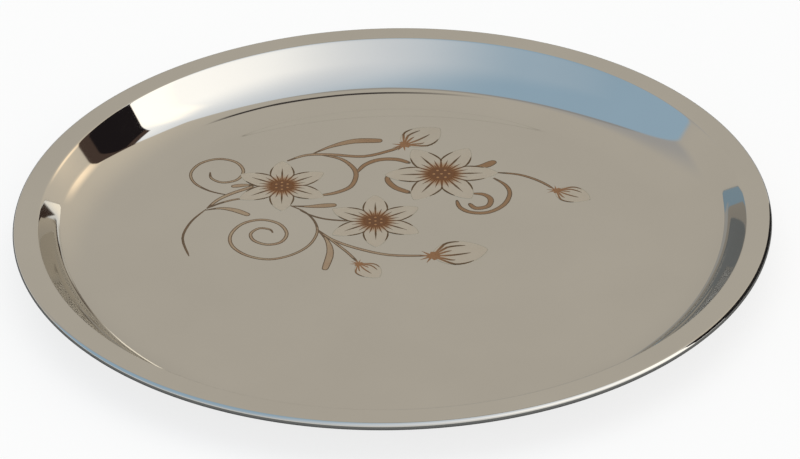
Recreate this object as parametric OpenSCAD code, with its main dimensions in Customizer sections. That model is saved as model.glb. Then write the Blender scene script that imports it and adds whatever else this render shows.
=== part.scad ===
/* [Plate] */
// Outside diameter over the rolled bead
plate_d = 300; // [240:1:400]
// Thickness of the sheet
sheet = 0.7; // [0.5:0.1:1]
// Depth of the well, from the flat rim down to the floor
well_depth = 19.2; // [15:0.2:30]

/* [Wall] */
// Slope of the straight part of the wall, in degrees
wall_slope = 54; // [45:1:65]
// Radius of the cove between floor and wall, on the inside
cove_r = 27; // [10:1:36]
// Radius of the crease between wall and rim, on the upper side
crease_r = 1.4; // [1.2:0.1:3]

/* [Rim] */
// Width of the flat rim, from the crease to the top of the bead
rim_w = 8; // [4:0.5:20]
// Outside diameter of the rolled bead
bead_d = 3.6; // [3:0.1:6]
// How far the bead is rolled round, in degrees
bead_sweep = 285; // [240:5:300]

/* [Ornament] */
// Width of the flowering vine, as a share of the flat floor
vine_w_share = 0.73; // [0.4:0.01:0.8]
// Thickness of each marked layer
layer_t = 0.04; // [0.02:0.01:0.1]
// Width of the outline drawn round leaves and stems, as a share of the vine's width
line_w_share = 0.0024; // [0.0018:0.0001:0.003]

/* [Hidden] */
$fn = 120;

// Section of the sheet, worked out from the rim inwards: the flat floor is what the wall leaves.
// At each joint between two of its stretches a lap as deep as half the sheet reaches into both
bead_r = bead_d / 2;
half_slope_tan = tan(wall_slope / 2);
crease_corner_r = plate_d / 2 - bead_r - rim_w;
foot_corner_r = crease_corner_r - well_depth / tan(wall_slope);
floor_r = foot_corner_r - cove_r * half_slope_tan;
wall_len = well_depth / sin(wall_slope) - (cove_r + crease_r) * half_slope_tan;
rim_flat = rim_w - crease_r * half_slope_tan;
lap = sheet / 2;

// Width of the ornament, and the heights of its two layers: the upper lies on the lower
vine_w = vine_w_share * 2 * floor_r;
line_w = line_w_share * vine_w;
lower_z = sheet;
upper_z = sheet + layer_t;

steel = [0.79, 0.78, 0.75];
brown = [0.50, 0.34, 0.23];
buff = [0.65, 0.52, 0.41];
pale = [0.74, 0.72, 0.66];

// Flowers: the middle and the radius, in shares of the vine's width, and the turn of the first petal
flower_left_shares = [[-0.272, 0.323], 0.120];
flower_middle_shares = [[-0.041, 0.147], 0.122];
flower_right_shares = [[0.125, 0.365], 0.141];
flower_left_turn = 30;
flower_middle_turn = 30;
flower_right_turn = 0;

// Buds: the base and the length, in shares of the vine's width, and the way each points
bud_top_shares = [[0.033, 0.510], 0.122];
bud_right_shares = [[0.407, 0.275], 0.095];
bud_lower_shares = [[0.095, -0.020], 0.138];
bud_small_shares = [[-0.084, -0.048], 0.082];
bud_top_turn = 41;
bud_right_turn = -30;
bud_lower_turn = 11;
bud_small_turn = -52;

// Strokes: the points that each one runs through and its greatest width, in shares of the vine's width
stem_shares = [
    [[[-0.458, 0.219], [-0.494, 0.160], [-0.512, 0.085], [-0.494, 0.002]], 0.0064],
    [[[-0.456, 0.222], [-0.430, 0.262], [-0.398, 0.290], [-0.362, 0.312], [-0.343, 0.324]], 0.0120],
    [[[-0.452, 0.225], [-0.424, 0.246], [-0.382, 0.264], [-0.340, 0.266]], 0.0070],
    [[[-0.226, 0.204], [-0.196, 0.178], [-0.160, 0.160], [-0.104, 0.149]], 0.0060],
    [[[-0.183, 0.112], [-0.148, 0.066], [-0.090, 0.024], [-0.010, -0.011], [0.083, -0.018]], 0.0100],
    [[[-0.180, 0.106], [-0.142, 0.052], [-0.110, 0.004], [-0.086, -0.040]], 0.0080],
    [[[-0.260, 0.443], [-0.212, 0.470], [-0.150, 0.470], [-0.068, 0.458], [0.002, 0.486], [0.024, 0.503]],
        0.0120],
    [[[0.258, 0.367], [0.318, 0.354], [0.366, 0.322], [0.400, 0.284]], 0.0085]
];
tendril_shares = [
    [[[-0.406, 0.284], [-0.452, 0.306], [-0.490, 0.346], [-0.500, 0.394], [-0.477, 0.440], [-0.432, 0.460],
        [-0.388, 0.442], [-0.369, 0.398], [-0.384, 0.357], [-0.420, 0.345], [-0.448, 0.366],
        [-0.452, 0.396]], 0.0090],
    [[[-0.250, 0.228], [-0.214, 0.196], [-0.190, 0.150], [-0.184, 0.098], [-0.204, 0.040], [-0.246, -0.002],
        [-0.300, -0.020], [-0.354, 0.000], [-0.390, 0.044], [-0.395, 0.096], [-0.368, 0.146],
        [-0.322, 0.164], [-0.278, 0.144], [-0.258, 0.098], [-0.272, 0.058], [-0.306, 0.048],
        [-0.338, 0.068], [-0.346, 0.100], [-0.326, 0.124], [-0.300, 0.118], [-0.292, 0.102]], 0.0095],
    [[[-0.180, 0.472], [-0.126, 0.448], [-0.095, 0.404], [-0.088, 0.362], [-0.102, 0.312], [-0.140, 0.284],
        [-0.178, 0.274]], 0.0135],
    [[[-0.086, 0.378], [-0.066, 0.416], [-0.030, 0.440], [0.014, 0.440], [0.048, 0.420]], 0.0155],
    [[[-0.011, 0.360], [-0.007, 0.332], [0.012, 0.301], [0.048, 0.276]], 0.0175],
    [[[0.254, 0.340], [0.282, 0.306], [0.292, 0.264], [0.276, 0.212], [0.238, 0.178], [0.196, 0.178],
        [0.168, 0.202], [0.160, 0.238]], 0.0135],
    [[[0.198, 0.268], [0.228, 0.262], [0.244, 0.238], [0.236, 0.206], [0.206, 0.198], [0.190, 0.222]],
        0.0155]
];
leaf_shares = [
    [[[-0.460, 0.214], [-0.424, 0.222], [-0.388, 0.212], [-0.356, 0.190]], 0.0180],
    [[[-0.334, 0.326], [-0.362, 0.330], [-0.392, 0.326]], 0.0160],
    [[[-0.246, 0.226], [-0.206, 0.222], [-0.174, 0.224], [-0.144, 0.226]], 0.0200],
    [[[-0.182, 0.108], [-0.160, 0.062], [-0.152, 0.004], [-0.164, -0.066]], 0.0200],
    [[[-0.196, 0.476], [-0.150, 0.510], [-0.092, 0.534], [-0.030, 0.534]], 0.0240],
    [[[0.186, 0.396], [0.214, 0.396], [0.236, 0.402], [0.254, 0.416]], 0.0250]
];
curve_steps = 4;

// Width along a stroke, in shares of its greatest width: stems and tendrils taper both ways, the lines in a
// bloom run out to a point, and leaves end round
stroke_taper_shares = [[0, 0.35], [0.15, 0.8], [0.4, 1], [0.8, 1], [0.94, 0.8], [1, 0.35]];
point_taper_shares = [[0, 0.6], [0.3, 1], [0.8, 0.7], [1, 0.16]];
leaf_taper_shares = [[0, 0.14], [0.25, 0.40], [0.55, 0.84], [0.75, 1], [0.9, 0.94], [1, 0.82]];
end_steps = 5;
end_sweep = 80;
// A stroke holds a filling where half its width is over this many line widths
filling_floor_share = 1.4;

// Petals, in shares of the flower's radius
petal_count = 6;
petal_steps = 10;
petal_notch_share = 0.53;
petal_root_share = petal_notch_share * cos(180 / petal_count);
petal_half_share = 0.265;
petal_swell_share = 0.95;
petal_blunt_share = 0.7;

// The star: rays over one petal, each with its turn in shares of a petal's pitch and its reach
ray_shares = [[0, 0.73], [0.13, 0.34], [0.26, 0.49], [0.74, 0.49], [0.87, 0.34]];
ray_valley_share = 0.21;
// Where a ray is widest, between its valleys and its tip, and half that width as a share of its reach
ray_shoulder_share = 0.55;
ray_half_share = 0.026;
// The forked ray that runs to where two petals meet: its turn, the reach and half the width of its neck,
// and where its two branches run along the petals
fork_turn_share = 0.5;
fork_neck_shares = [0.43, 0.012];
fork_shares = [0.45, 0.76];
fork_inset_share = 0.92;
fork_w_share = 0.036;
fork_steps = 6;
// Seeds left bare in the star's middle: rings of a count and a radius
seed_ring_shares = [[6, 0.135], [1, 0]];
seed_r_share = 0.025;

// Buds, in shares of their length
bud_steps = 14;
bud_half_share = 0.40;
bud_swell_share = 0.85;
bud_blunt_share = 0.7;
// Ribs: how far each stands from the middle, its reach, and how they draw together into the cup
rib_shares = [[-0.93, 0.68], [-0.56, 0.37], [-0.14, 0.68], [0.24, 0.37], [0.58, 0.64], [0.93, 0.56]];
rib_start_share = 0.07;
rib_gather_shares = [[0.07, 0.5], [0.3, 1]];
rib_w_share = 0.052;
rib_steps = 7;
cup_front_share = 0.14;
cup_back_share = 0.08;
sepal_share = 0.25;
sepal_count = 4;
sepal_fan = 144;
cup_steps = 8;

function place(share) = vine_w * share;
function polar(r, a) = r * [cos(a), sin(a)];
function turned(p, a) = [p[0] * cos(a) - p[1] * sin(a), p[0] * sin(a) + p[1] * cos(a)];

// A smooth curve through a list of points
function between(a, b, c, d, t) =
    (2 * b + (c - a) * t + (2 * a - 5 * b + 4 * c - d) * t * t + (3 * b - a - 3 * c + d) * t * t * t) / 2;
function curve(points) =
    let (last = len(points) - 1)
    [
        for (i = [0 : last - 1]) for (k = [0 : curve_steps - 1])
            between(
                points[max(i - 1, 0)], points[i], points[i + 1], points[min(i + 2, last)], k / curve_steps
            ),
        points[last]
    ];

// The outline of a ribbon: up the left side of its path and back down the right
function across(path, i) =
    let (step = path[min(i + 1, len(path) - 1)] - path[max(i - 1, 0)])
    [-step[1], step[0]] / norm(step);
function ribbon(path, halves) =
    let (last = len(path) - 1)
    concat(
        [for (i = [0 : last]) path[i] + across(path, i) * halves[i]],
        [for (i = [last : -1 : 0]) path[i] - across(path, i) * halves[i]]
    );
function halves(path, widest, taper_shares) =
    [for (i = [0 : len(path) - 1]) widest / 2 * lookup(i / (len(path) - 1), taper_shares)];

function marking(path, widest, taper_shares) = ribbon(path, halves(path, widest, taper_shares));

module strokes(list) {
    for (stroke = list)
        polygon(marking(curve(place(stroke[0])), place(stroke[1]), stroke_taper_shares));
}

// What lies inside a stroke's outline, where the stroke is wide enough
module fillings(list) {
    for (stroke = list) {
        path = curve(place(stroke[0]));
        half = halves(path, place(stroke[1]), stroke_taper_shares);
        held = [for (i = [1 : len(path) - 1]) if (half[i] > filling_floor_share * line_w) i];
        if (len(held) > 2)
            polygon(ribbon([for (i = held) path[i]], [for (i = held) half[i] - line_w]));
    }
}

// Leaves, drawn in from their outlines by an inset, whose paths run on round their ends
module leaves(inset) {
    for (leaf = leaf_shares) {
        path = curve(place(leaf[0]));
        half = halves(path, place(leaf[1]), leaf_taper_shares);
        last = len(path) - 1;
        end_r = half[last] - inset;
        ahead = (path[last] - path[last - 1]) / norm(path[last] - path[last - 1]);
        held = [for (i = [0 : last]) if (half[i] > filling_floor_share * inset) i];
        turns = [for (k = [1 : end_steps]) end_sweep * k / end_steps];
        polygon(ribbon(
            concat([for (i = held) path[i]], [for (turn = turns) path[last] + ahead * end_r * sin(turn)]),
            concat([for (i = held) half[i] - inset], [for (turn = turns) end_r * cos(turn)])
        ));
    }
}

module layer(height) {
    translate([0, 0, height]) linear_extrude(layer_t) children();
}

// The plate, turned from the section of one sheet. Each stretch starts in the frame where the last one ends
module ring(inner_r) {
    difference() {
        circle(inner_r + sheet);
        circle(inner_r);
    }
}

module left_half(reach) {
    translate([-reach, -reach]) square([reach, 2 * reach]);
}

module right_half(reach) {
    translate([0, -reach]) square([reach, 2 * reach]);
}

// A bend that starts straight below its centre and turns upwards to the right
module sheet_bend(inner_r, sweep) {
    reach = 2 * (inner_r + sheet);
    intersection() {
        ring(inner_r);
        right_half(reach);
        rotate(sweep) left_half(reach);
    }
}

// The rolled edge, which starts straight above its centre and turns down to the right
module bead_curl() {
    reach = 2 * bead_r;
    difference() {
        ring(bead_r - sheet);
        intersection() {
            left_half(reach);
            rotate(360 - bead_sweep) right_half(reach);
        }
    }
}

// The lap at a joint, where the sheet's middle is at a given height
module joint_lap(middle) {
    translate([0, middle]) square(lap, center = true);
}

module rim_section() {
    joint_lap(crease_r - sheet / 2);
    translate([0, crease_r - sheet]) square([rim_flat, sheet]);
    translate([rim_flat, crease_r - bead_r]) {
        joint_lap(bead_r - sheet / 2);
        bead_curl();
    }
}

module wall_section() {
    joint_lap(-cove_r - sheet / 2);
    translate([0, -cove_r - sheet]) square([wall_len, sheet]);
    translate([wall_len, -cove_r - crease_r]) {
        joint_lap(crease_r - sheet / 2);
        mirror([0, 1]) sheet_bend(crease_r - sheet, wall_slope);
        rotate(-wall_slope) rim_section();
    }
}

module plate_section() {
    square([floor_r, sheet]);
    translate([floor_r, sheet + cove_r]) {
        joint_lap(-cove_r - sheet / 2);
        sheet_bend(cove_r, wall_slope);
        rotate(wall_slope) wall_section();
    }
}

module plate() {
    color(steel) rotate_extrude() plate_section();
}

// Flowers: pale petals with a brown star on them
function petal_half(t) = petal_half_share * pow(sin(180 * pow(t, petal_swell_share)), petal_blunt_share);
function petal_point(i, side) =
    let (t = petal_root_share + (1 - petal_root_share) * sin(90 * i / petal_steps))
    [t, side * petal_half(t)];
function petal_outline(turn) = [
    for (k = [0 : petal_count - 1]) let (a = turn + k * 360 / petal_count) each concat(
        [polar(petal_notch_share, a - 180 / petal_count)],
        [for (i = [1 : petal_steps]) turned(petal_point(i, -1), a)],
        [for (i = [petal_steps - 1 : -1 : 1]) turned(petal_point(i, 1), a)]
    )
];

module petals_flat(flower, turn) {
    translate(place(flower[0])) polygon(place(flower[1]) * petal_outline(turn));
}

module petals(flower, turn) {
    color(pale) layer(lower_z) petals_flat(flower, turn);
}

// A pointed ray, and one branch of the forked ray, on the side that it bears to
function pointed_ray(reach) =
    let (
        half = ray_half_share * reach,
        shoulder = ray_valley_share + ray_shoulder_share * (reach - ray_valley_share)
    )
    [[shoulder, -half], [reach, 0], [shoulder, half]];
function branch(side) =
    let (
        path = [
            for (i = [0 : fork_steps])
                let (t = fork_shares[0] + (fork_shares[1] - fork_shares[0]) * i / fork_steps)
                turned([t, -side * fork_inset_share * petal_half(t)], side * 180 / petal_count)
        ],
        outline = marking(path, fork_w_share, point_taper_shares)
    )
    [for (i = [len(outline) - 1 : -1 : 0]) outline[i]];
forked_ray = concat(
    [[fork_neck_shares[0], -fork_neck_shares[1]]], branch(-1),
    branch(1), [[fork_neck_shares[0], fork_neck_shares[1]]]
);

// The rays of one petal in turn, then all of them with a valley after each
rays = [
    for (ray = ray_shares) if (ray[0] < fork_turn_share) [ray[0], pointed_ray(ray[1])],
    [fork_turn_share, forked_ray],
    for (ray = ray_shares) if (ray[0] > fork_turn_share) [ray[0], pointed_ray(ray[1])]
];
function star_outline(turn) = [
    for (k = [0 : petal_count - 1]) for (i = [0 : len(rays) - 1]) let (
        pitch = 360 / petal_count,
        next_turn = i + 1 < len(rays) ? rays[i + 1][0] : 1,
        valley = (rays[i][0] + next_turn) / 2
    ) each concat(
        [for (point = rays[i][1]) turned(point, turn + (k + rays[i][0]) * pitch)],
        [polar(ray_valley_share, turn + (k + valley) * pitch)]
    )
];

module star(flower, turn) {
    size = place(flower[1]);
    color(brown) translate(place(flower[0])) layer(upper_z) difference() {
        polygon(size * star_outline(turn));
        for (ring = seed_ring_shares) for (k = [1 : ring[0]])
            translate(size * polar(ring[1], turn + k * 360 / ring[0])) circle(size * seed_r_share);
    }
}

module petals_left() petals(flower_left_shares, flower_left_turn);
module petals_middle() petals(flower_middle_shares, flower_middle_turn);
module petals_right() petals(flower_right_shares, flower_right_turn);
module star_left() star(flower_left_shares, flower_left_turn);
module star_middle() star(flower_middle_shares, flower_middle_turn);
module star_right() star(flower_right_shares, flower_right_turn);

// Buds: pale petals closed to a point, a spiky cup behind them and ribs along them
function bud_half(t) = bud_half_share * pow(sin(180 * pow(t, bud_swell_share)), bud_blunt_share);
function bud_point(i, side) =
    let (t = (1 - cos(180 * i / bud_steps)) / 2)
    [t, side * bud_half(t)];
function bud_outline() = concat(
    [for (i = [0 : bud_steps]) bud_point(i, -1)],
    [for (i = [bud_steps - 1 : -1 : 1]) bud_point(i, 1)]
);
function cup_outline() = concat(
    [for (i = [0 : cup_steps]) polar(cup_front_share, -90 + 180 * i / cup_steps)],
    [for (i = [0 : 2 * sepal_count]) polar(i % 2 == 0 ? cup_back_share : sepal_share,
        180 - sepal_fan / 2 + sepal_fan * i / (2 * sepal_count))]
);
function rib_path(rib) = [
    for (i = [0 : rib_steps]) let (t = rib_start_share + (rib[1] - rib_start_share) * i / rib_steps)
        [t, rib[0] * bud_half(t) * lookup(t, rib_gather_shares)]
];

module bud_cup(bud, turn) {
    translate(place(bud[0])) rotate(turn) polygon(place(bud[1]) * cup_outline());
}

module bud_shape(bud, turn) {
    translate(place(bud[0])) rotate(turn) polygon(place(bud[1]) * bud_outline());
}

module bud_shell(bud, turn) {
    layer(lower_z) difference() {
        bud_shape(bud, turn);
        bud_cup(bud, turn);
    }
}

module bud_marks(bud, turn) {
    color(brown) {
        layer(lower_z) bud_cup(bud, turn);
        layer(upper_z) translate(place(bud[0])) rotate(turn) for (rib = rib_shares)
            polygon(place(bud[1]) * marking(rib_path(rib), rib_w_share, point_taper_shares));
    }
}

module bud_petals() {
    color(pale) {
        bud_shell(bud_top_shares, bud_top_turn);
        bud_shell(bud_right_shares, bud_right_turn);
        bud_shell(bud_lower_shares, bud_lower_turn);
        bud_shell(bud_small_shares, bud_small_turn);
    }
}

module bud_top() bud_marks(bud_top_shares, bud_top_turn);
module bud_right() bud_marks(bud_right_shares, bud_right_turn);
module bud_lower() bud_marks(bud_lower_shares, bud_lower_turn);
module bud_small() bud_marks(bud_small_shares, bud_small_turn);

// Everything that stems, tendrils and leaves stop at
module blooms_flat() {
    petals_flat(flower_left_shares, flower_left_turn);
    petals_flat(flower_middle_shares, flower_middle_turn);
    petals_flat(flower_right_shares, flower_right_turn);
    bud_shape(bud_top_shares, bud_top_turn);
    bud_shape(bud_right_shares, bud_right_turn);
    bud_shape(bud_lower_shares, bud_lower_turn);
    bud_shape(bud_small_shares, bud_small_turn);
    bud_cup(bud_top_shares, bud_top_turn);
    bud_cup(bud_right_shares, bud_right_turn);
    bud_cup(bud_lower_shares, bud_lower_turn);
    bud_cup(bud_small_shares, bud_small_turn);
}

module stems_flat() strokes(stem_shares);
module tendrils_flat() strokes(tendril_shares);

module stem_lines() {
    color(brown) layer(lower_z) difference() {
        stems_flat();
        fillings(stem_shares);
        blooms_flat();
    }
}

module stem_fill() {
    color(buff) layer(lower_z) difference() {
        fillings(stem_shares);
        blooms_flat();
    }
}

module tendril_lines() {
    color(brown) layer(lower_z) difference() {
        tendrils_flat();
        fillings(tendril_shares);
        stems_flat();
        blooms_flat();
    }
}

module tendril_fill() {
    color(buff) layer(lower_z) difference() {
        fillings(tendril_shares);
        stems_flat();
        blooms_flat();
    }
}

module leaf_lines() {
    color(brown) layer(lower_z) difference() {
        leaves(0);
        leaves(line_w);
        stems_flat();
        tendrils_flat();
        blooms_flat();
    }
}

module leaf_fill() {
    color(buff) layer(lower_z) difference() {
        leaves(line_w);
        stems_flat();
        tendrils_flat();
        blooms_flat();
    }
}

plate();
petals_left();
petals_middle();
petals_right();
star_left();
star_middle();
star_right();
bud_petals();
bud_top();
bud_right();
bud_lower();
bud_small();
stem_lines();
stem_fill();
tendril_lines();
tendril_fill();
leaf_lines();
leaf_fill();
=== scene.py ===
import math

import bpy
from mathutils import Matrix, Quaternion, Vector


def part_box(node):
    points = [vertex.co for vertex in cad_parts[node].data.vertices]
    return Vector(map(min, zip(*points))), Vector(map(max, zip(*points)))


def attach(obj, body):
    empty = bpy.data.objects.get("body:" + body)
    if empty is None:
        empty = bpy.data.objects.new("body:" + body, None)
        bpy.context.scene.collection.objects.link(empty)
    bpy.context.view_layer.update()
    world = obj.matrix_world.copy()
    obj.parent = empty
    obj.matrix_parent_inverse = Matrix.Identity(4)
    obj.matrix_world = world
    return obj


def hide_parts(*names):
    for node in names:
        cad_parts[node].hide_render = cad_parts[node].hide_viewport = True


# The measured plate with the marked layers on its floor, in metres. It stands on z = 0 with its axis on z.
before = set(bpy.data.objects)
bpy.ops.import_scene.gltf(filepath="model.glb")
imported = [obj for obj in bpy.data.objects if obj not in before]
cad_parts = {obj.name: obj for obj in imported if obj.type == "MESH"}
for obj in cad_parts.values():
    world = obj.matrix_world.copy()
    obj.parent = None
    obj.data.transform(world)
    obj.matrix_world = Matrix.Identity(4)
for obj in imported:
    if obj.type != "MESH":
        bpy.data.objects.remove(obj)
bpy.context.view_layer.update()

# The plate is one disc of stainless sheet, pressed into a flat floor, a coved wall and a flat rim. Its edge
# is rolled under into a hollow bead, and both faces of the sheet are polished to a mirror.
sheet = 0.0007
wall_slope = math.radians(54)
cove_r = 0.027
crease_r = 0.0014
rim_w = 0.008
bead_r = 0.0018
bead_sweep = math.radians(285)
cove_steps = 30
crease_steps = 8
bead_steps = 34
turn_steps = 480
ring_gap = 0.001
merge_gap = 1e-5
sharp_angle = math.radians(40)

plate_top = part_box("plate")[1]
plate_r = plate_top.x
rim_z = plate_top.z
floor_z = sheet
crease_corner_r = plate_r - bead_r - rim_w
crease_end_r = crease_corner_r + crease_r * math.tan(wall_slope / 2)
foot_corner_r = crease_corner_r - (rim_z - floor_z) / math.tan(wall_slope)
floor_r = foot_corner_r - cove_r * math.tan(wall_slope / 2)


def arc(centre_r, centre_z, radius, start, sweep, steps):
    """Points of the section along an arc. Angles are measured from straight up and turn outwards."""
    turns = [start + sweep * step / steps for step in range(steps + 1)]
    return [(centre_r + radius * math.sin(turn), centre_z + radius * math.cos(turn)) for turn in turns]


def stretch(start, end):
    """Two points just inside the ends of a straight stretch, which keep it flat up to its bends."""
    share = ring_gap / math.dist(start, end)
    return [tuple(a + (b - a) * t for a, b in zip(start, end)) for t in (share, 1 - share)]


def draw_section(points):
    """Draws the upper face of the sheet from the middle outwards, one vertex drawn on from the last."""
    bpy.ops.object.select_all(action="DESELECT")
    bpy.ops.mesh.primitive_plane_add(size=sheet)
    bpy.ops.object.mode_set(mode="EDIT")
    bpy.ops.mesh.merge(type="CENTER")
    start = Vector((points[0][0], 0, points[0][1]))
    bpy.ops.transform.translate(value=start)
    for (r, z), (next_r, next_z) in zip(points, points[1:]):
        bpy.ops.mesh.extrude_vertices_move(
            TRANSFORM_OT_translate={"value": (next_r - r, 0, next_z - z)}
        )


cove = arc(floor_r, floor_z + cove_r, cove_r, math.pi, -wall_slope, cove_steps)
crease = arc(crease_end_r, rim_z - crease_r, crease_r, -wall_slope, wall_slope, crease_steps)
bead = arc(plate_r - bead_r, rim_z - bead_r, bead_r, 0, bead_sweep, bead_steps)
axis_point = (0, floor_z)
section = [axis_point, *stretch(axis_point, cove[0]), *cove, *stretch(cove[-1], crease[0]), *crease]
section += [*stretch(crease[-1], bead[0]), *bead]

draw_section(section)
plate = bpy.context.object
plate.name = "pressed_plate"
bpy.ops.mesh.select_all(action="SELECT")
bpy.ops.mesh.spin(steps=turn_steps, angle=math.tau, center=(0, 0, 0), axis=(0, 0, 1))
bpy.ops.mesh.select_all(action="SELECT")
bpy.ops.mesh.remove_doubles(threshold=merge_gap)
bpy.ops.mesh.normals_make_consistent(inside=False)
bpy.ops.object.mode_set(mode="OBJECT")
floor_face = min(plate.data.polygons, key=lambda face: face.center.length)
if floor_face.normal.z < 0:
    plate.data.flip_normals()
bpy.ops.object.modifier_add(type="SOLIDIFY")
skin = plate.modifiers[-1]
skin.thickness = sheet
skin.offset = -1
skin.use_even_offset = True
bpy.ops.object.modifier_apply(modifier=skin.name)
bpy.ops.object.shade_smooth_by_angle(angle=sharp_angle)


def add_node(tree, kind, inputs=None, **options):
    """Adds a node, sets its options, and sets or links the inputs that are given by name or number."""
    node = tree.nodes.new(kind)
    for name, value in options.items():
        setattr(node, name, value)
    for key, value in (inputs or {}).items():
        if isinstance(value, bpy.types.NodeSocket):
            tree.links.new(value, node.inputs[key])
        else:
            node.inputs[key].default_value = value
    return node


def new_finish(name):
    """A material with its node tree, its shader and the place on the piece that its patterns follow."""
    finish = bpy.data.materials.new(name)
    finish.use_nodes = True
    tree = finish.node_tree
    shader = tree.nodes["Principled BSDF"]
    place = add_node(tree, "ShaderNodeTexCoord").outputs["Object"]
    return finish, tree, shader, place


def seen(red, green, blue):
    """A colour as it is read off a picture, from 0 to 255, as light."""
    parts = [part / 255 for part in (red, green, blue)]
    return (*[part / 12.92 if part < 0.04045 else ((part + 0.055) / 1.055) ** 2.4 for part in parts], 1)


cloud_low, cloud_high = 0.3, 0.7


def mottle(tree, place, scale, detail=2, low=0, high=1):
    """Cloudy patches across the piece, from a low value to a high one."""
    noise = add_node(tree, "ShaderNodeTexNoise", {"Vector": place, "Scale": scale, "Detail": detail})
    spread = add_node(
        tree, "ShaderNodeMapRange",
        {
            "Value": noise.outputs[0], "From Min": cloud_low, "From Max": cloud_high,
            "To Min": low, "To Max": high,
        },
    )
    return spread.outputs["Result"]


def relief(tree, shader, place, scale, strength, depth):
    """Gives a finish its relief, from the press waves of the sheet to the grain of a frosted face."""
    waves = add_node(tree, "ShaderNodeTexNoise", {"Vector": place, "Scale": scale, "Detail": 1})
    bump = add_node(
        tree, "ShaderNodeBump", {"Height": waves.outputs[0], "Strength": strength, "Distance": depth}
    )
    tree.links.new(bump.outputs[0], shader.inputs["Normal"])


def blend(tree, share, first, second):
    """Mixes two colours by a share that changes from place to place."""
    mix = add_node(
        tree, "ShaderNodeMix", {"Factor": share, 6: first, 7: second}, data_type="RGBA"
    )
    return mix.outputs[2]


steel_dull = seen(216, 214, 209)
steel_bright = seen(220, 218, 213)
steel_edge = (0.8, 0.8, 0.8, 1)

steel, steel_tree, steel_shader, steel_place = new_finish("mirror_steel")
steel_clouds = mottle(steel_tree, steel_place, scale=18, detail=3)
steel_colour = blend(steel_tree, steel_clouds, steel_dull, steel_bright)
steel_tree.links.new(steel_colour, steel_shader.inputs["Base Color"])
steel_shader.inputs["Metallic"].default_value = 1
steel_shader.inputs["Specular Tint"].default_value = steel_edge
smears = mottle(steel_tree, steel_place, scale=60, detail=5, low=0.02, high=0.05)
steel_tree.links.new(smears, steel_shader.inputs["Roughness"])
relief(steel_tree, steel_shader, steel_place, scale=24, strength=1, depth=0.000004)
plate.data.materials.append(steel)
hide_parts("plate")
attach(plate, "root")

# The petals of the three flowers and the four buds are frosted into the polished floor, barely lighter than
# the steel, inside a fine grey outline. Near each flower's middle they are stained brown. A stain's reach,
# in and out, is given in shares of the flower's radius.
outline_w = 0.00028
film_gap = merge_gap / 10
flat_angle = math.radians(0.5)
facing_up = 0.5
frost = seen(219, 214, 205)
frost_thin = seen(217, 211, 201)
frost_roughness = 0.3
outline_grey = seen(196, 194, 184)
root_stain = seen(190, 152, 116)
heart_tan = seen(208, 164, 122)
root_in, root_out = 0.20, 0.46
heart_in, heart_out = 0.165, 0.19
flower_radii = {"petals_left": 0.0197, "petals_middle": 0.0200, "petals_right": 0.0232}


def outlined_copy(name):
    """Copies a marked layer and marks off a narrow rim all round its upper faces."""
    film = bpy.data.objects.new(f"{name}_frost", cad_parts[name].data.copy())
    bpy.context.scene.collection.objects.link(film)
    bpy.ops.object.select_all(action="DESELECT")
    bpy.context.view_layer.objects.active = film
    film.select_set(True)
    bpy.ops.object.mode_set(mode="EDIT")
    bpy.ops.mesh.customdata_custom_splitnormals_clear()
    bpy.ops.mesh.select_all(action="SELECT")
    bpy.ops.mesh.remove_doubles(threshold=film_gap)
    bpy.ops.mesh.dissolve_limited(angle_limit=flat_angle)
    bpy.ops.mesh.select_all(action="DESELECT")
    bpy.ops.object.mode_set(mode="OBJECT")
    for face in film.data.polygons:
        face.select = face.normal.z > facing_up
    bpy.ops.object.mode_set(mode="EDIT")
    bpy.ops.mesh.select_mode(type="FACE")
    bpy.ops.mesh.inset(thickness=outline_w, use_even_offset=True)
    bpy.ops.object.mode_set(mode="OBJECT")
    rim = film.data.attributes.new("outline", "FLOAT", "FACE")
    for face, mark in zip(film.data.polygons, rim.data):
        mark.value = 0 if face.select else 1
    return film


def middle_of(name):
    """The middle of a marked layer."""
    low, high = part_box(name)
    return (low + high) / 2


def from_middle(tree, place, middle, near, far):
    """Rises from 0 to 1 with the distance from a point on the floor."""
    centred = add_node(
        tree, "ShaderNodeMapping", {"Vector": place, "Location": (-middle.x, -middle.y, -middle.z)}
    )
    distance = add_node(tree, "ShaderNodeVectorMath", {0: centred.outputs[0]}, operation="LENGTH")
    share = add_node(
        tree, "ShaderNodeMapRange",
        {"Value": distance.outputs["Value"], "From Min": near, "From Max": far},
        interpolation_type="SMOOTHSTEP",
    )
    return share.outputs["Result"]


def frosted_finish(name, middle=None, radius=None):
    """Frosted steel with its outline, and with a brown stain round a flower's middle."""
    finish, tree, shader, place = new_finish(name)
    shader.inputs["Metallic"].default_value = 1
    shader.inputs["Roughness"].default_value = frost_roughness
    colour = blend(tree, mottle(tree, place, scale=240), frost, frost_thin)
    if middle:
        past_roots = from_middle(tree, place, middle, root_in * radius, root_out * radius)
        colour = blend(tree, past_roots, root_stain, colour)
        past_heart = from_middle(tree, place, middle, heart_in * radius, heart_out * radius)
        colour = blend(tree, past_heart, heart_tan, colour)
    rim = add_node(tree, "ShaderNodeAttribute", attribute_name="outline")
    colour = blend(tree, rim.outputs["Fac"], colour, outline_grey)
    tree.links.new(colour, shader.inputs["Base Color"])
    relief(tree, shader, place, scale=5000, strength=0.3, depth=0.00002)
    return finish


def finish_film(film, finish, name):
    """Gives a film its finish and puts it in the place of the marked layer that it was copied from."""
    film.data.materials.clear()
    film.data.materials.append(finish)
    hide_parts(name)
    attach(film, "root")


for name, radius in flower_radii.items():
    finish_film(outlined_copy(name), frosted_finish(f"{name}_finish", middle_of(name), radius), name)
finish_film(outlined_copy("bud_petals"), frosted_finish("bud_petals_finish"), "bud_petals")

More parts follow.
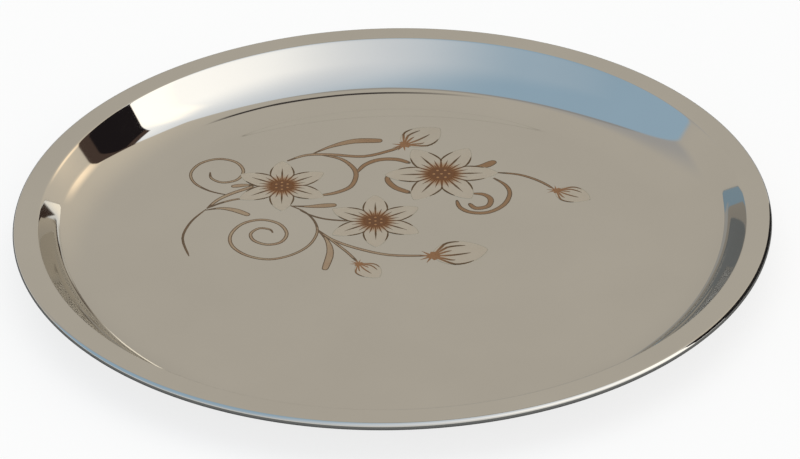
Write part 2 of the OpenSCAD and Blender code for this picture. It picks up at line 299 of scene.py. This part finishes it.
# The stars, the cups and ribs of the buds, and the outlines of stems, tendrils and leaves are a satin brown
# stain, burnt into the floor. The stars and buds turn olive towards the tips of their rays and ribs.
seed_brown = seen(104, 66, 36)
ray_brown = seen(112, 70, 34)
tip_olive = seen(84, 62, 36)
cup_brown = seen(140, 100, 66)
line_brown = seen(106, 84, 62)
line_dark = seen(90, 73, 54)
seed_in, seed_out = 0.13, 0.25
tip_in, tip_out = 0.28, 0.52
cup_in, cup_out = 0.0018, 0.012
bud_bases = {
    "bud_top": (0.0054, 0.0837), "bud_right": (0.0668, 0.0452),
    "bud_lower": (0.0156, -0.0033), "bud_small": (-0.0138, -0.0079),
}


def stain_finish(name, metallic=0.25, roughness=0.5):
    """A satin stain in the steel, with its fine grain. Its colour is linked by the caller."""
    finish, tree, shader, place = new_finish(name)
    shader.inputs["Metallic"].default_value = metallic
    shader.inputs["Roughness"].default_value = roughness
    relief(tree, shader, place, scale=4000, strength=0.3, depth=0.00002)
    return finish, tree, shader, place


def stain_node(name, finish):
    """Puts a finish on a marked layer, which keeps its own shape."""
    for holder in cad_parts[name].material_slots:
        holder.material = finish


for petals, radius in flower_radii.items():
    flower = petals.removeprefix("petals_")
    middle = middle_of(petals)
    finish, tree, shader, place = stain_finish(f"star_{flower}_finish")
    past_seeds = from_middle(tree, place, middle, seed_in * radius, seed_out * radius)
    colour = blend(tree, past_seeds, seed_brown, ray_brown)
    near_tips = from_middle(tree, place, middle, tip_in * radius, tip_out * radius)
    colour = blend(tree, near_tips, colour, tip_olive)
    tree.links.new(colour, shader.inputs["Base Color"])
    stain_node(f"star_{flower}", finish)

for name, (x, y) in bud_bases.items():
    finish, tree, shader, place = stain_finish(f"{name}_finish")
    past_cup = from_middle(tree, place, Vector((x, y, floor_z)), cup_in, cup_out)
    colour = blend(tree, past_cup, cup_brown, tip_olive)
    tree.links.new(colour, shader.inputs["Base Color"])
    stain_node(name, finish)

line_stain, line_tree, line_shader, line_place = stain_finish("line_finish")
line_colour = blend(line_tree, mottle(line_tree, line_place, scale=120), line_brown, line_dark)
line_tree.links.new(line_colour, line_shader.inputs["Base Color"])
for name in ("stem_lines", "tendril_lines", "leaf_lines"):
    stain_node(name, line_stain)

# Stems, tendrils and leaves are filled, inside their outlines, with a thin tan stain that lets the steel
# shine through. It is a little uneven, redder in places, and deepest round the largest flower.
fill_tan = seen(194, 178, 154)
fill_red = seen(184, 159, 137)
fill_deep = seen(166, 134, 104)
deep_in, deep_out = 0.025, 0.075

tan_stain, tan_tree, tan_shader, tan_place = stain_finish("filling_finish", metallic=0.9, roughness=0.3)
tan_colour = blend(tan_tree, mottle(tan_tree, tan_place, scale=150), fill_tan, fill_red)
far_off = from_middle(tan_tree, tan_place, middle_of("petals_right"), deep_in, deep_out)
tan_colour = blend(tan_tree, far_off, fill_deep, tan_colour)
tan_tree.links.new(tan_colour, tan_shader.inputs["Base Color"])
for name in ("stem_fill", "tendril_fill", "leaf_fill"):
    stain_node(name, tan_stain)

# The studio: a wide sheet of white paper under the plate, which the camera and the steel both see as white,
# with a faint shadow left on it. Close round the plate the steel's reflections see the paper painted dark
# grey, a painted shadow of the plate laid over its real, fainter one.
floor_size = 30
floor_drop = 0.0002
floor_white = (0.93, 0.92, 0.90, 1)
floor_shade = (0.91, 0.90, 0.88, 1)
painted_floor_shadow = (0.16, 0.165, 0.17, 1)
floor_glow = 0.8
shadow_in, shadow_out = 1.5 * plate_r, 4.5 * plate_r
matt_roughness = 0.9
matt_shine = 0.1


def combine(tree, operation, first, second, **options):
    """One sum on two values in a node tree."""
    node = add_node(tree, "ShaderNodeMath", {0: first, 1: second}, operation=operation, **options)
    return node.outputs[0]


bpy.ops.object.select_all(action="DESELECT")
bpy.ops.mesh.primitive_plane_add(size=floor_size, location=(0, 0, -floor_drop))
studio_floor = bpy.context.object
studio_floor.name = "studio_floor"
paper, paper_tree, paper_shader, paper_place = new_finish("floor_paper")
paper_colour = blend(paper_tree, mottle(paper_tree, paper_place, scale=3), floor_white, floor_shade)
paper_shader.inputs["Roughness"].default_value = matt_roughness
paper_shader.inputs["Specular IOR Level"].default_value = matt_shine
rays = add_node(paper_tree, "ShaderNodeLightPath").outputs
looked_at = rays["Is Camera Ray"]
clear_of_plate = from_middle(paper_tree, paper_place, Vector((0, 0, 0)), shadow_in, shadow_out)
for ray in ("Is Glossy Ray", "Is Transmission Ray"):
    mirrored = combine(paper_tree, "MULTIPLY", rays[ray], clear_of_plate)
    looked_at = combine(paper_tree, "MAXIMUM", looked_at, mirrored)
# Painted shadow: for glossy rays only, the paper close round the plate is painted dark grey.
painted_shadow_share = combine(paper_tree, "SUBTRACT", rays["Is Glossy Ray"], clear_of_plate, use_clamp=True)
paper_colour = blend(paper_tree, painted_shadow_share, paper_colour, painted_floor_shadow)
paper_tree.links.new(paper_colour, paper_shader.inputs["Base Color"])
paper_glow = add_node(paper_tree, "ShaderNodeEmission", {"Color": (1, 1, 1, 1), "Strength": 1})
glow_share = combine(paper_tree, "MULTIPLY", looked_at, floor_glow)
paper_mix = add_node(
    paper_tree, "ShaderNodeMixShader",
    {0: glow_share, 1: paper_shader.outputs[0], 2: paper_glow.outputs[0]},
)
paper_tree.links.new(paper_mix.outputs[0], paper_tree.nodes["Material Output"].inputs["Surface"])
studio_floor.data.materials.append(paper)

# A low card of matt black paper stands on the floor to the right of the plate, out of the picture. Only the
# rolled edge shows it.
card_x = 0.24
card_near, card_far = -0.05, 0.15
card_top = 0.11
card_black = (0.014, 0.011, 0.012, 1)
card_worn = (0.03, 0.026, 0.025, 1)

bpy.ops.object.select_all(action="DESELECT")
bpy.ops.mesh.primitive_plane_add(size=1)
low_card = bpy.context.object
low_card.name = "low_card"
bpy.ops.object.mode_set(mode="EDIT")
bpy.ops.transform.rotate(value=math.pi / 2, orient_axis="Y", center_override=(0, 0, 0))
bpy.ops.transform.resize(value=(1, card_far - card_near, card_top))
bpy.ops.transform.translate(value=(card_x, (card_near + card_far) / 2, card_top / 2))
bpy.ops.object.mode_set(mode="OBJECT")
black, black_tree, black_shader, black_place = new_finish("black_card")
black_colour = blend(black_tree, mottle(black_tree, black_place, scale=8), card_black, card_worn)
black_tree.links.new(black_colour, black_shader.inputs["Base Color"])
black_shader.inputs["Roughness"].default_value = matt_roughness
black_shader.inputs["Specular IOR Level"].default_value = matt_shine
low_card.data.materials.append(black)
low_card.visible_camera = False
low_card.visible_diffuse = False
low_card.visible_shadow = False

# Round the plate is what its mirror shows. Soft panels of lit cloth hang over it, blue at the left and paling
# to white at the right. Towards the viewer they thin into haze, and past that is the grey of the room.
# Where a panel starts and ends is given in degrees, with the width of its soft edge last.
panel_blue = (0.355, 0.505, 0.645, 1)
panel_pale = (0.815, 0.865, 0.93, 1)
panel_white = (1.44, 1.42, 1.38, 1)
panel_haze = (0.86, 0.87, 0.90, 1)
room_grey = (0.73, 0.715, 0.69, 1)
lean_from, lean_stop, lean_rate = 100, 138, 0.47
pale_rise = (-25, 25)
white_rise = (15, 62)
haze_rise, haze_share = (100, 130), 0.12
room_rise, room_share = (145, 165), 0.8

studio = bpy.data.worlds.new("studio")
studio.use_nodes = True
bpy.context.scene.world = studio
air = studio.node_tree
direction = add_node(air, "ShaderNodeTexCoord").outputs["Generated"]
right, away, up = add_node(air, "ShaderNodeSeparateXYZ", {0: direction}).outputs


def calc(operation, first, second=0.0):
    """One sum on two values that change with the direction."""
    return combine(air, operation, first, second)


def degrees(operation, first, second=0.0):
    """An angle of the direction, in degrees."""
    return calc("MULTIPLY", calc(operation, first, second), math.degrees(1))


def rise(value, start, end):
    """A soft step from 0 at the start to 1 at the end."""
    step = add_node(
        air, "ShaderNodeMapRange", {"Value": value, "From Min": start, "From Max": end},
        interpolation_type="SMOOTHSTEP",
    )
    return step.outputs["Result"]


def between(value, low, high, soft):
    """1 between two angles, with soft ends."""
    return calc("MULTIPLY", rise(value, low - soft, low + soft), rise(value, high + soft, high - soft))


def both(first, second):
    """1 where two bands meet."""
    return calc("MULTIPLY", first, second)


def beyond(high, low, rate):
    """Grows at a rate as one value gets past another, and is 0 before that."""
    return calc("MULTIPLY", calc("MAXIMUM", calc("SUBTRACT", high, low), 0), rate)


side = degrees("ARCSINE", right)
over = degrees("ARCTAN2", up, away)
turn = degrees("ARCTAN2", right, away)
height = degrees("ARCSINE", up)

lean = calc("MULTIPLY", calc("SUBTRACT", calc("MINIMUM", over, lean_stop), lean_from), lean_rate)
lean = calc("ADD", side, lean)
view = blend(air, rise(lean, *pale_rise), panel_blue, panel_pale)
view = blend(air, rise(lean, *white_rise), view, panel_white)
view = blend(air, calc("MULTIPLY", rise(over, *haze_rise), haze_share), view, panel_haze)
view = blend(air, calc("MULTIPLY", rise(over, *room_rise), room_share), view, room_grey)

# A beige board stands behind the plate, with a grey border along its top, which falls away to both sides. It
# is lit from the right and dim at its upper left. Light that has met the steel more than once sees more
# shades of it. Such light is told by its ray depth, which is 2 after one meeting and 3 after the second.
board_beige = (0.54, 0.50, 0.435, 1)
board_lit = (0.69, 0.615, 0.505, 1)
board_dim = (0.43, 0.42, 0.41, 1)
board_cool = (0.30, 0.325, 0.35, 1)
board_head = (0.815, 0.772, 0.702, 1)
board_left = (0.46, 0.43, 0.39, 1)
board_far = (0.40, 0.41, 0.42, 1)
border_grey = (0.25, 0.245, 0.24, 1)
once_depth, twice_depth, thrice_depth = 2.5, 3.5, 4.5
left_fall, left_fall_rate = 0, 0.4
right_fall, right_fall_rate = 29, 1.1
lit_rise = (15, 55)
dim_turn, dim_height = (-46, -68), (14, 24)
left_rise = (-26, -36)
head_sides, head_overs = (-20, 20, 6), (64, 84, 4)
far_rise = (-4, -16)
border_rise, border_end, border_share = (84.5, 87), (34, 28), 0.5
board_turns, board_top = (-69.5, 77.5, 1.2), (89.5, 87.5)

bounces = add_node(air, "ShaderNodeLightPath").outputs["Ray Depth"]
once = calc("LESS_THAN", bounces, once_depth)
again = calc("GREATER_THAN", bounces, once_depth)
twice = both(again, calc("LESS_THAN", bounces, twice_depth))
often = calc("GREATER_THAN", bounces, thrice_depth)

board = blend(air, rise(side, *lit_rise), board_beige, board_lit)
board = blend(air, both(rise(turn, *dim_turn), rise(height, *dim_height)), board, board_dim)
board = blend(air, both(again, rise(side, *left_rise)), board, board_cool)
board_middle = both(between(side, *head_sides), between(over, *head_overs))
board = blend(air, both(again, board_middle), board, board_head)
board = blend(air, both(twice, rise(side, *left_rise)), board, board_left)
board = blend(air, both(often, rise(side, *far_rise)), board, board_far)
fall = calc("ADD", beyond(left_fall, side, left_fall_rate), beyond(side, right_fall, right_fall_rate))
edge = calc("ADD", over, fall)
border = both(calc("MULTIPLY", rise(edge, *border_rise), border_share), rise(side, *border_end))
board = blend(air, border, board, border_grey)
view = blend(air, both(between(turn, *board_turns), rise(edge, *board_top)), view, board)

# A dark wooden bar is fixed along the board near its top. It sinks towards its ends, steeply at the far
# right, and only light that has met the steel once sees it.
bar_dark = (0.05, 0.042, 0.04, 1)
left_sink, left_sink_rate = 4, 0.12
right_sink, right_sink_rate = 5, 0.1
end_sink, end_sink_rate = 14.5, 0.5
bar_left_end, bar_right_end = (-13, 3), (24, 19)
bar_band = (75.9, 79.4, 0.5)

sunk = calc("ADD", beyond(side, right_sink, right_sink_rate), beyond(side, end_sink, end_sink_rate))
bar = calc("ADD", calc("ADD", over, beyond(left_sink, side, left_sink_rate)), sunk)
bar_ends = both(rise(side, *bar_left_end), rise(side, *bar_right_end))
view = blend(air, both(both(bar_ends, once), between(bar, *bar_band)), view, bar_dark)

# To the right is a cream lamp, cut off below by the slanting edge of its shade. Further round is a bright
# gap between the panels. Both are brighter than white paper.
lamp_cream = (1.40, 1.13, 0.81, 1)
gap_white = (1.75, 1.64, 1.45, 1)
shade_rate = 0.567
lamp_turns = (50, 64, 6)
lamp_foot, lamp_fade = (-22.2, -20.6), (-10, -19.5)
gap_turns, gap_heights = (85, 100, 3.5), (15, 45, 8)

lift = calc("SUBTRACT", height, calc("MULTIPLY", turn, shade_rate))
lamp_glow = both(rise(lift, *lamp_foot), rise(lift, *lamp_fade))
view = blend(air, both(between(turn, *lamp_turns), lamp_glow), view, lamp_cream)
view = blend(air, both(between(turn, *gap_turns), between(height, *gap_heights)), view, gap_white)

# Between the lamp and the gap stands a tall black card in a brown border, with both upper corners cut off.
# Light that has met the steel once sees it.
border_brown = (0.075, 0.05, 0.04, 1)
left_cut, left_cut_rate = 70, 2.5
right_cut, right_cut_rate = 80.5, 2.2
tall_turns, tall_top = (63.3, 88, 0.4), (37.8, 36.8)
inner_side, inner_top = (68.1, 68.9), (33.8, 32.8)

left_corner = beyond(left_cut, turn, left_cut_rate)
right_corner = beyond(turn, right_cut, right_cut_rate)
crown = calc("ADD", height, calc("ADD", left_corner, right_corner))
tall_card = both(once, both(between(turn, *tall_turns), rise(crown, *tall_top)))
view = blend(air, tall_card, view, border_brown)
inside = both(rise(turn, *inner_side), rise(calc("ADD", height, left_corner), *inner_top))
view = blend(air, both(tall_card, inside), view, card_black)

# Light that has met the steel again sees the card's brown foot and a brown post on a step beside it, pale
# board above them, a line of light at the top and a grey panel at the far left. After four meetings it sees
# the board alone, and it gains back a part of what each meeting after the second takes from it.
panel_grey = (0.57, 0.57, 0.57, 1)
grey_turns, grey_foot = (-82, -66, 1), (30.6, 31.6)
pale_turns, pale_foot = (68, 82, 1.5), (32.5, 34)
slant_rate = 0.22
foot_turns, foot_top = (66, 82.5, 0.8), (12.9, 12.3)
post_turns, post_heights = (61, 67.5, 1), (30, 42, 1.5)
step_turns, step_heights = (61, 74.5, 1), (30.6, 33, 0.5)
light_turn, light_height = (62, 66), (44, 46)
gain, gain_depth, gain_steps = 1.3, 3, 4
glossy_limit = 12

grey_panel = both(between(turn, *grey_turns), rise(height, *grey_foot))
view = blend(air, both(twice, grey_panel), view, panel_grey)
pale_board = both(between(turn, *pale_turns), rise(height, *pale_foot))
view = blend(air, both(twice, pale_board), view, board_head)
slant = calc("SUBTRACT", height, calc("MULTIPLY", turn, slant_rate))
card_foot = both(between(turn, *foot_turns), rise(slant, *foot_top))
post = both(between(turn, *post_turns), between(height, *post_heights))
post_step = both(between(turn, *step_turns), between(height, *step_heights))
brown_parts = calc("MAXIMUM", card_foot, calc("MAXIMUM", post, post_step))
view = blend(air, both(again, brown_parts), view, border_brown)
light_line = both(rise(turn, *light_turn), rise(height, *light_height))
view = blend(air, both(twice, light_line), view, gap_white)
view = blend(air, often, view, board)
air.links.new(view, air.nodes["Background"].inputs["Color"])
later_meetings = calc("MINIMUM", beyond(bounces, gain_depth, 1), gain_steps)
air.links.new(calc("POWER", gain, later_meetings), air.nodes["Background"].inputs["Strength"])
bpy.context.scene.cycles.glossy_bounces = glossy_limit

# A broad soft screen hangs level above the plate and brings the paper up to white. It is kept out of the
# mirror's sight.
screen_size = 3
screen_height = 3
screen_power = 35

bpy.ops.object.select_all(action="DESELECT")
bpy.ops.object.light_add(type="AREA", location=(0, 0, screen_height))
screen = bpy.context.object
screen.name = "overhead_lamp"
screen.data.size = screen_size
screen.data.energy = screen_power
screen.visible_glossy = False

# The camera looks down on the plate from the front through a long lens, tipped a little, as the plate was
# photographed.
view_elevation = math.radians(31.43)
view_roll = math.radians(1.11)
view_distance = 1.8
view_aim = Vector((0.0030, -0.0038, 0.0137))
lens = 204.7

rim_middle = Vector((0, 0, rim_z))
view_place = rim_middle + view_distance * Vector((0, -math.cos(view_elevation), math.sin(view_elevation)))
view_turn = (view_aim - view_place).to_track_quat("-Z", "Y") @ Quaternion((0, 0, 1), -view_roll)
bpy.ops.object.camera_add(location=view_place, rotation=view_turn.to_euler())
camera = bpy.context.object
camera.data.lens = lens
bpy.context.scene.camera = camera
bpy.context.scene.view_settings.view_transform = "Standard"
